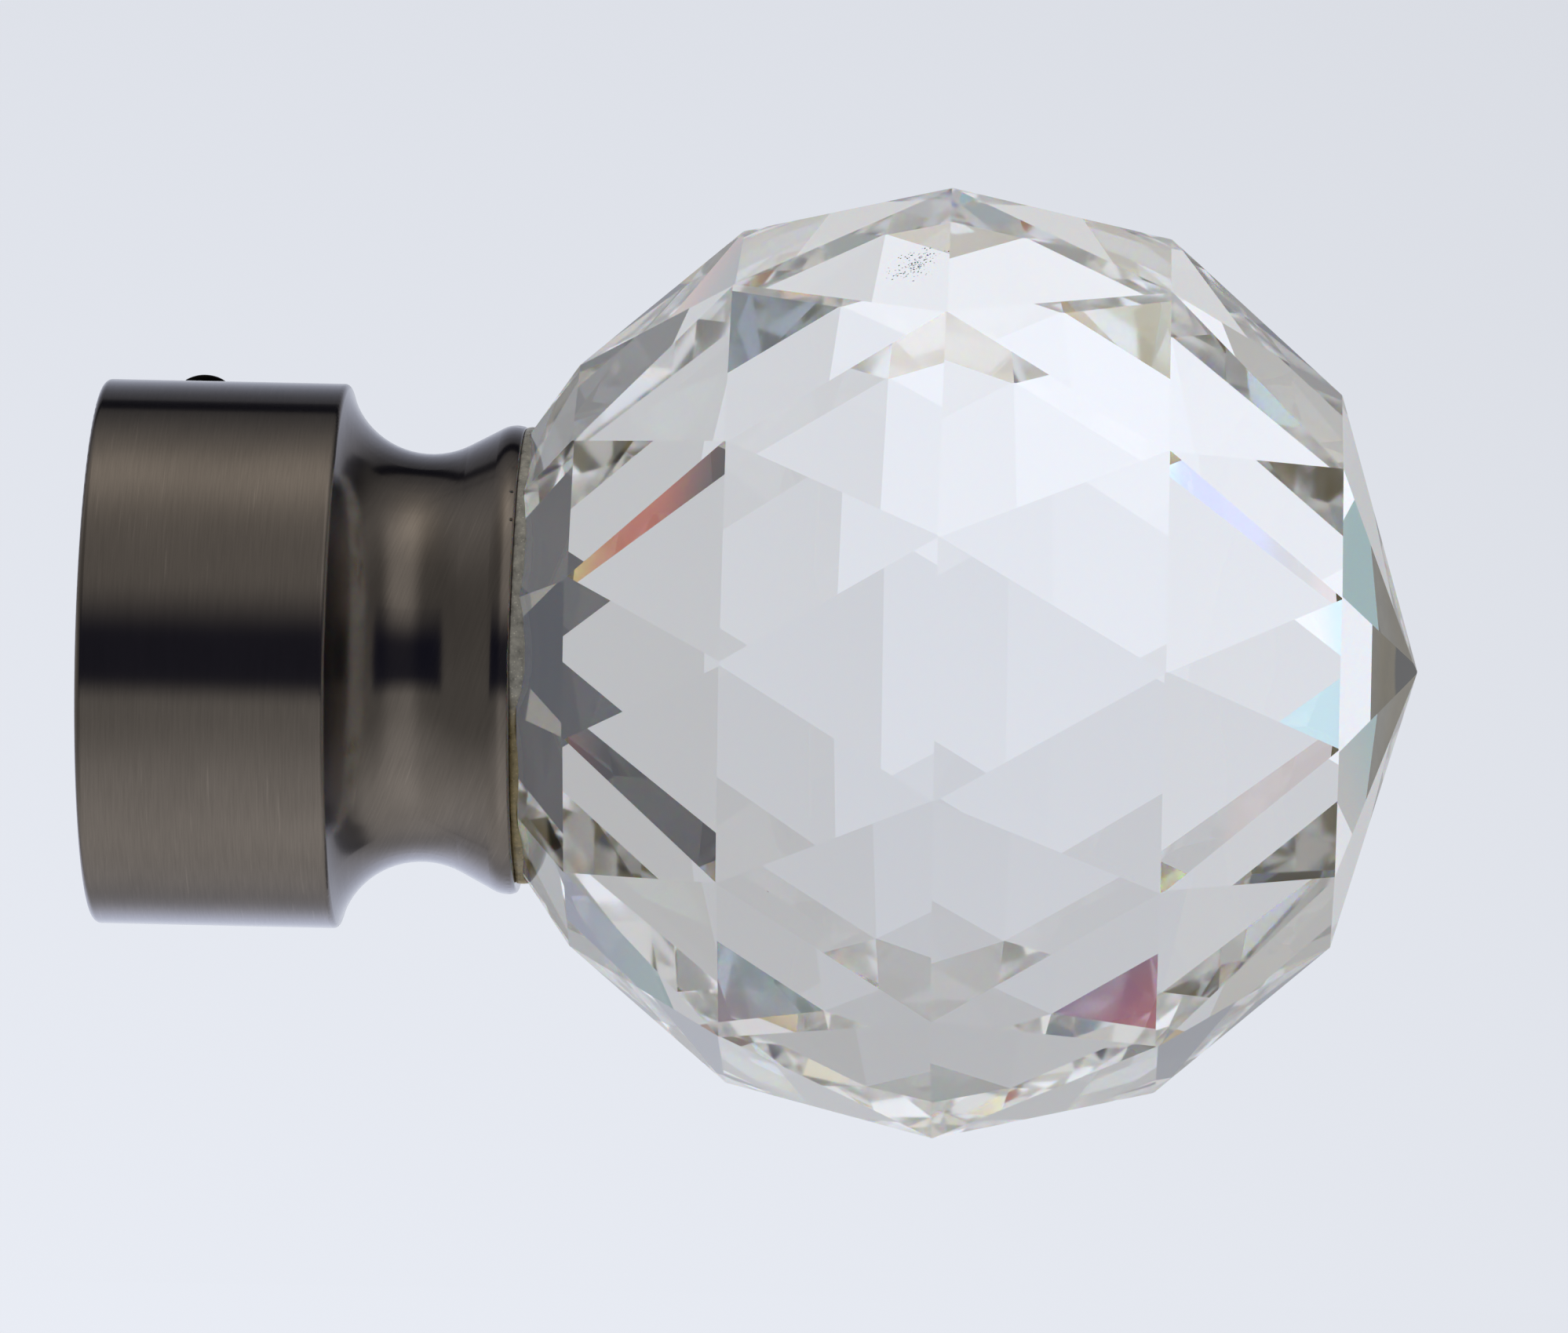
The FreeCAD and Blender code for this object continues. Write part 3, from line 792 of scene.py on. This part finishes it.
class FINIAL_OT_thread_screw(bpy.types.Operator):
    """Cut the grub screw's thread, cup point and hexagon socket"""

    bl_idname = "finial.thread_screw"
    bl_label = "Thread Screw"

    def execute(self, context):
        thread = context.scene.finial.screw
        points = frame["nodes"]["grub_screw"].data.vertices
        heights = [(point.co - SCREW_ROOT).dot(SCREW_OUT) for point in points]
        tip, head = min(heights), max(heights)
        # The cup is a cone that ends in a small flat
        rings = [
            screw_ring(tip + 0.9 * thread.cup_depth, lambda turn: 0.1 * thread.cup_radius),
            screw_ring(tip, lambda turn: thread.cup_radius),
        ]
        count = round((head - tip) / thread.pitch * RINGS_PER_TURN)
        for step in range(count + 1):
            above = (head - tip) * step / count
            below = head - tip - above
            rings.append(screw_ring(tip + above, lambda turn: thread_radius(thread, above, below, turn)))
        lead_in = 0.1 * thread.key_width
        rings.append(screw_ring(head, lambda turn: key_radius(thread.key_width + lead_in, turn)))
        rings.append(screw_ring(head - lead_in, lambda turn: key_radius(thread.key_width, turn)))
        rings.append(screw_ring(head - thread.key_depth, lambda turn: key_radius(thread.key_width, turn)))
        mesh = skin_rings("threaded_screw", rings)
        mesh.shade_smooth()
        mesh.set_sharp_from_angle(angle=math.radians(35))
        mesh.materials.append(black_oxide())
        add_piece("threaded_screw", mesh, "screw", "black_screw_steel", "grub_screw")
        return {"FINISHED"}


# Middles of the smears on the ball as seen from its middle: turn towards the apex and height, in degrees,
# with the share of the specks and the width of the smear in degrees
SMEARS = (
    (-13.0, 58.6, 1.0, 2.2),
    (-13.8, 56.6, 0.8, 1.6),
    (-14.5, 54.8, 1.0, 2.0),
    (-42.0, 64.2, 0.02, 0.1),
    (-26.5, -27.5, 0.02, 0.1),
)
# A smear is this many times as wide as it is high
SMEAR_STRETCH = 2.5
SPECK_CORNERS = 6
SPECK_SEED = 11


def on_ball(flats, turn, height):
    """The place on the ball's surface that lies in a direction from its middle, and the way it faces."""
    outward = towards(180 - turn, height)
    facing_out = [(point, facing) for point, facing in flats if facing.dot(outward) > 0.1]
    reach, facing = min(
        ((point - BALL_MIDDLE).dot(facing) / facing.dot(outward), facing) for point, facing in facing_out
    )
    return BALL_MIDDLE + outward * reach, facing


class FINIAL_OT_scatter_residue(bpy.types.Operator):
    """Scatter the specks of dried residue on the ball"""

    bl_idname = "finial.scatter_residue"
    bl_label = "Scatter Residue"

    def execute(self, context):
        specks = context.scene.finial.residue
        flats = ground_flats(context.scene.finial.crystal)
        draw = random.Random(SPECK_SEED)
        shape = bmesh.new()
        for turn, height, share, width in SMEARS:
            for _ in range(max(1, round(share * specks.count))):
                aside, above = draw.gauss(turn, width), draw.gauss(height, width / SMEAR_STRETCH)
                place, facing = on_ball(flats, aside, above)
                size = specks.size * draw.uniform(0.5, 1.4)
                lean = facing.to_track_quat("Z", "Y").to_matrix().to_4x4()
                cap = bmesh.ops.create_cone(
                    shape, cap_ends=True, segments=SPECK_CORNERS, radius1=size / 2, radius2=size / 4,
                    depth=size / 5, matrix=Matrix.Translation(place + facing * size / 10) @ lean,
                )
                for corner in cap["verts"]:
                    corner.co += facing.orthogonal() * draw.uniform(-0.2, 0.2) * size
        mesh = bpy.data.meshes.new("dried_specks")
        shape.to_mesh(mesh)
        shape.free()
        mesh.materials.append(dried_residue())
        add_piece("dried_specks", mesh, "finial", "clear_adhesive")
        return {"FINISHED"}


# The room's light below and above, and the share of it that is left in front
ROOM_COLOURS = ((0.37, 0.37, 0.36), (0.28, 0.276, 0.268))
ROOM_FRONT_SHARE = 0.6
# Light of the panel round the camera below and above, and light of the pale floor
PANEL_COLOURS = ((0.17, 0.169, 0.165), (0.34, 0.33, 0.312))
FLOOR_COLOUR = (0.25, 0.25, 0.25)
# Soft lights round the finial: turn to the right of straight behind, height, width and colour
SOFT_LIGHTS = (
    (180, 83, 14, (0.36, 0.33, 0.28)),
    (180, -74, 14, (0.12, 0.12, 0.12)),
    (0, -60, 20, (0.06, 0.06, 0.063)),
    (-62, 24, 20, (0.24, 0.24, 0.24)),
    (-60, -30, 18, (0.14, 0.14, 0.145)),
    (180, -26, 10, (0.07, 0.07, 0.07)),
)
# Lights on the backdrop sheet alone
SHEET_LIGHTS = (
    (-16, -34, 38, (0.569, 0.6, 0.69)),
    (-3, 6, 18, (0.038, 0.043, 0.05)),
    (4, 28, 24, (0.04, 0.045, 0.057)),
    (34, 18, 14, (0.14, 0.14, 0.14)),
)
# Edges of the sheet in degrees from straight behind, and the shares of its light at its foot and right edge
SHEET_TOP = 44.8
SHEET_LEFT = -46.9
SHEET_RIGHT = 36.6
SHEET_FOOT_SHARE = 0.06
SHEET_RIGHT_SHARE = 0.7
# An edge that leans turns by this share of its height
EDGE_LEAN = 0.06
# Bright strip along the sheet's left edge, and thin dark lines beside it: from, to and depth
STRIP_EDGES = (-47.3, -39.8)
STRIP_COLOUR = (0.22, 0.24, 0.28)
STRIP_LINES = ((-48.28, -47.08, 0.55), (-39.8, -37.7, 0.12))
# Share of the light that the dark gaps take, and the little bluish light that still comes out of them
GAP_DEPTH = 0.92
GAP_COLOUR = (0.006, 0.008, 0.03)
# How dark the gap beside the sheet is away from the sheet's edge, and next to it
BESIDE_DEPTHS = (0.6, 0.75)
# An edge this far off in degrees is no edge
FAR_OFF = 89


def slope(tree, angle, start, end):
    """A smooth step from 0 at start to 1 at end, in degrees."""
    return ramp(tree, angle, math.radians(start), math.radians(end))


def band(tree, angle, low, high, soft):
    """1 between low and high, in degrees, with soft edges, and 0 outside."""
    reach = soft / 2
    return product(
        tree, slope(tree, angle, low - reach, low + reach), slope(tree, angle, high + reach, high - reach)
    )


def glow(tree, direction, turn, height, width, colour):
    """Light that falls off smoothly around the direction at a turn and a height."""
    facing = measure(tree, "DOT_PRODUCT", direction, tuple(towards(turn, height)))
    sharpness = 1.0 / math.radians(width) ** 2
    share = maths(tree, "EXPONENT", maths(tree, "MULTIPLY_ADD", facing, sharpness, -sharpness))
    return scaled(tree, colour, share)


def angles_of(tree, direction):
    """A direction's height, its height and turn from straight behind, its turn from straight in front, and
    its turn past an edge that leans."""
    x, y, z = node(tree, "ShaderNodeSeparateXYZ", {0: direction}).outputs
    height = maths(tree, "ARCSINE", z)
    back_turn = maths(tree, "ARCTAN2", x, y)
    return SimpleNamespace(
        height=height,
        back_height=maths(tree, "ARCTAN2", z, y),
        back_turn=back_turn,
        front_turn=maths(tree, "ARCTAN2", x, product(tree, y, -1.0)),
        edge_turn=maths(tree, "MULTIPLY_ADD", height, EDGE_LEAN, back_turn),
    )


def room_light(tree, direction):
    """Grey room, darker in front, with a panel round the camera, a pale floor and soft lights."""
    x, y, z = node(tree, "ShaderNodeSeparateXYZ", {0: direction}).outputs
    upper = ramp(tree, z, -0.3, 0.3)
    behind = spread(tree, ramp(tree, y, -0.5, 0.1), 0.0, 1.0, ROOM_FRONT_SHARE, 1.0)
    in_panel = product(tree, band(tree, maths(tree, "ARCSINE", x), -4, 32, 20), ramp(tree, y, 0.2, -0.3))
    return added(
        tree,
        scaled(tree, blend(tree, upper, *ROOM_COLOURS), behind),
        scaled(tree, blend(tree, upper, *PANEL_COLOURS), in_panel),
        scaled(tree, FLOOR_COLOUR, ramp(tree, z, -0.42, -0.85)),
        *(glow(tree, direction, *light) for light in SOFT_LIGHTS),
    )


def sheet_light(tree, direction, angles):
    """Backdrop sheet, dimmer towards its foot and its right edge, with the bright strip."""
    foot = slope(tree, angles.back_height, -60, -28)
    right = slope(tree, angles.back_turn, -5, 36)
    inside = product(
        tree,
        spread(tree, foot, 0.0, 1.0, SHEET_FOOT_SHARE, 1.0),
        band(tree, angles.back_height, -FAR_OFF, SHEET_TOP, 1),
        band(tree, angles.back_turn, SHEET_LEFT, FAR_OFF, 0.2),
        band(tree, angles.edge_turn, -FAR_OFF, SHEET_RIGHT, 0.5),
        spread(tree, right, 0.0, 1.0, 1.0, SHEET_RIGHT_SHARE),
    )
    in_strip = product(
        tree, band(tree, angles.edge_turn, *STRIP_EDGES, 0.6), band(tree, angles.height, -27, 15, 6)
    )
    return added(
        tree,
        *(scaled(tree, glow(tree, direction, *light), inside) for light in SHEET_LIGHTS),
        scaled(tree, STRIP_COLOUR, in_strip),
    )


def dark_gaps(tree, angles):
    """How dark it is, from 0 to 1, before the camera, over the sheet, beside it and along the strip."""
    before = product(
        tree,
        slope(tree, angles.height, -21, -9),
        slope(tree, angles.height, 34, 7),
        band(tree, angles.front_turn, -42, 52, 6),
    )
    over = product(
        tree, band(tree, angles.back_height, 45.6, 54.5, 1.5), band(tree, angles.back_turn, -43, 40, 6)
    )
    at_edge = band(tree, angles.edge_turn, 30, 43, 6)
    beside = product(
        tree,
        band(tree, angles.edge_turn, 36.75, 56, 0.6),
        band(tree, angles.height, -45, 34, 12),
        spread(tree, at_edge, 0.0, 1.0, *BESIDE_DEPTHS),
    )
    dark = maths(tree, "MAXIMUM", maths(tree, "MAXIMUM", before, over), beside)
    for low, high, depth in STRIP_LINES:
        line = product(tree, band(tree, angles.edge_turn, low, high, 0.15), depth)
        dark = maths(tree, "MAXIMUM", dark, line)
    return dark


def studio_light():
    """Node group that gives the light which reaches the finial from a direction."""
    group = bpy.data.node_groups.new("studio_light", "ShaderNodeTree")
    group.interface.new_socket("Direction", in_out="INPUT", socket_type="NodeSocketVector")
    group.interface.new_socket("Light", in_out="OUTPUT", socket_type="NodeSocketColor")
    direction = node(group, "NodeGroupInput").outputs["Direction"]
    angles = angles_of(group, direction)
    light = added(group, room_light(group, direction), sheet_light(group, direction, angles))
    dark = dark_gaps(group, angles)
    left = scaled(group, light, maths(group, "MULTIPLY_ADD", dark, -GAP_DEPTH, 1.0))
    node(group, "NodeGroupOutput", {"Light": added(group, left, scaled(group, GAP_COLOUR, dark))})
    return group


# Soft dark cards behind and under the finial, which only the brushed metal's reflections see: height,
# width and depth
CARDS = ((46, 24, 0.7), (-52, 16, 0.32), (-97, 40, 0.14))


def carded(tree, direction):
    """Share of the light that the cards leave in a direction."""
    _, y, z = node(tree, "ShaderNodeSeparateXYZ", {0: direction}).outputs
    back_height = maths(tree, "ARCTAN2", z, y)
    shade = 0.0
    for height, width, depth in CARDS:
        off = maths(tree, "MULTIPLY_ADD", back_height, 1.0 / math.radians(width), -height / width)
        fall = maths(tree, "EXPONENT", product(tree, off, off, -1.0))
        shade = maths(tree, "MULTIPLY_ADD", fall, depth, shade)
    path = node(tree, "ShaderNodeLightPath").outputs
    rough = maths(tree, "SUBTRACT", 1.0, path["Is Singular Ray"])
    seen = product(tree, path["Is Reflection Ray"], rough)
    return maths(tree, "SUBTRACT", 1.0, product(tree, shade, seen))


def lit(tree, light, direction):
    """The studio's light from a direction, less what the cards take, in another node tree."""
    used = node(tree, "ShaderNodeGroup", {"Direction": direction}, node_tree=light)
    return scaled(tree, used.outputs["Light"], carded(tree, direction))


# Light is followed this far, because it is caught in the ball for long
LIGHT_BOUNCES = 64
FLOOR_RADIUS = 6.0
FLOOR_CORNERS = 96
SENSOR_WIDTH = 36.0


def light_room(scene, light):
    """Put the studio's light all round the finial."""
    world = bpy.data.worlds.new("studio_room")
    scene.world = world
    world.use_nodes = True
    tree = world.node_tree
    tree.nodes.clear()
    around = node(tree, "ShaderNodeTexCoord").outputs["Generated"]
    room = node(tree, "ShaderNodeBackground", {"Color": lit(tree, light, around)})
    node(tree, "ShaderNodeOutputWorld", {"Surface": room.outputs[0]})


def lay_floor(scene, light, drop):
    """Lay a wide floor that shines with the studio's light, so that it shows no edge."""
    material, tree, output = new_material("pale_floor")
    place = node(tree, "ShaderNodeNewGeometry").outputs["Position"]
    around = vectors(tree, "NORMALIZE", place)
    shine = node(tree, "ShaderNodeEmission", {"Color": lit(tree, light, around)})
    tree.links.new(shine.outputs[0], output.inputs["Surface"])
    mesh = bpy.data.meshes.new("floor")
    shape = bmesh.new()
    bmesh.ops.create_circle(shape, cap_ends=True, segments=FLOOR_CORNERS, radius=FLOOR_RADIUS)
    bmesh.ops.translate(shape, verts=shape.verts, vec=(0, 0, -drop))
    shape.to_mesh(mesh)
    shape.free()
    mesh.materials.append(material)
    floor = bpy.data.objects.new("floor", mesh)
    scene.collection.objects.link(floor)


def place_camera(scene, stage):
    """Stand the camera where the photo was taken from."""
    camera = bpy.data.cameras.new("photo_camera")
    camera.sensor_width = SENSOR_WIDTH
    camera.lens = stage.lens
    camera.clip_start = 0.01
    eye = bpy.data.objects.new("photo_camera", camera)
    scene.collection.objects.link(eye)
    eye.matrix_world = (
        Matrix.Translation(stage.camera_place)
        @ Matrix.Rotation(-stage.camera_yaw, 4, "Z")
        @ Matrix.Rotation(math.pi / 2 - stage.camera_pitch, 4, "X")
        @ Matrix.Rotation(stage.camera_roll, 4, "Z")
    )
    scene.camera = eye


class FINIAL_OT_set_stage(bpy.types.Operator):
    """Set the floor, the lights and the camera"""

    bl_idname = "finial.set_stage"
    bl_label = "Set Stage"

    def execute(self, context):
        scene = context.scene
        stage = scene.finial.stage
        scene.view_settings.view_transform = "Standard"
        scene.view_settings.look = "None"
        scene.cycles.max_bounces = LIGHT_BOUNCES
        scene.cycles.glossy_bounces = LIGHT_BOUNCES
        scene.cycles.transmission_bounces = LIGHT_BOUNCES
        light = studio_light()
        light_room(scene, light)
        lay_floor(scene, light, stage.floor_drop)
        place_camera(scene, stage)
        return {"FINISHED"}


class FINIAL_PT_sidebar(bpy.types.Panel):
    """Lists the finial's operators in the order in which they run"""

    bl_idname = "FINIAL_PT_sidebar"
    bl_label = "Curtain Pole Finial"
    bl_space_type = "VIEW_3D"
    bl_region_type = "UI"
    bl_category = "Finial"

    def draw(self, context):
        for operator in OPERATORS:
            self.layout.operator(operator.bl_idname)


OPERATORS = (
    FINIAL_OT_dress_ferrule,
    FINIAL_OT_cut_ball,
    FINIAL_OT_spread_adhesive,
    FINIAL_OT_thread_screw,
    FINIAL_OT_scatter_residue,
    FINIAL_OT_set_stage,
)
GROUPS = (
    FerruleFinish, CrystalCut, AdhesiveBead, ScrewThread, ResidueSpecks, StudioStage, FinialSettings
)


def register():
    for kind in (*GROUPS, *OPERATORS, FINIAL_PT_sidebar):
        bpy.utils.register_class(kind)
    bpy.types.Scene.finial = bpy.props.PointerProperty(type=FinialSettings)


def unregister():
    del bpy.types.Scene.finial
    for kind in reversed((*GROUPS, *OPERATORS, FINIAL_PT_sidebar)):
        bpy.utils.unregister_class(kind)


def main():
    register()
    bpy.ops.finial.dress_ferrule()
    bpy.ops.finial.cut_ball()
    bpy.ops.finial.spread_adhesive()
    bpy.ops.finial.thread_screw()
    bpy.ops.finial.scatter_residue()
    bpy.ops.finial.set_stage()


if __name__ == "__main__":
    main()
